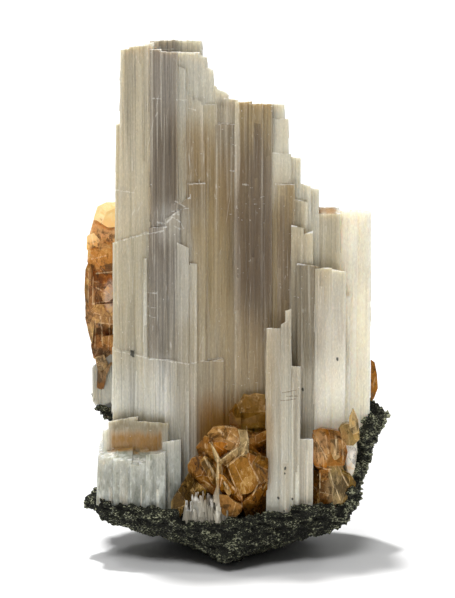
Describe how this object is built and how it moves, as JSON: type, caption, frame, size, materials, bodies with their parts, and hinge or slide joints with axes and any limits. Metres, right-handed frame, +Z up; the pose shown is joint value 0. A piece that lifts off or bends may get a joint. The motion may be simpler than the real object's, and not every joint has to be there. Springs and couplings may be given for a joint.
{
  "type": "ulexite slab",
  "caption": "Stepped slab of silky, striated fibrous crystals with amber crystals at its foot, standing on a crust of dark granular rock with a flat underside.",
  "frame": {"origin": "on the resting plane, under the middle of the specimen's bounding box", "axes": "+Z up along the crystal fibres, -Y out of the front with the amber cluster, +X to the viewer's right"},
  "size_m": [0.0558, 0.0388, 0.0929],
  "materials": {
    "ulexite": "silky, translucent",
    "amber": "glassy, translucent",
    "rock": "matt, granular"
  },
  "bodies": {
    "root": {"matrix_rock": "rock", "ulexite_slab": "ulexite", "fibre_tuft": "ulexite", "amber_cluster_front": "amber", "amber_crystal_right": "amber", "amber_sliver_right": "amber", "amber_mass_left": "amber"}
  },
  "joints": []
}
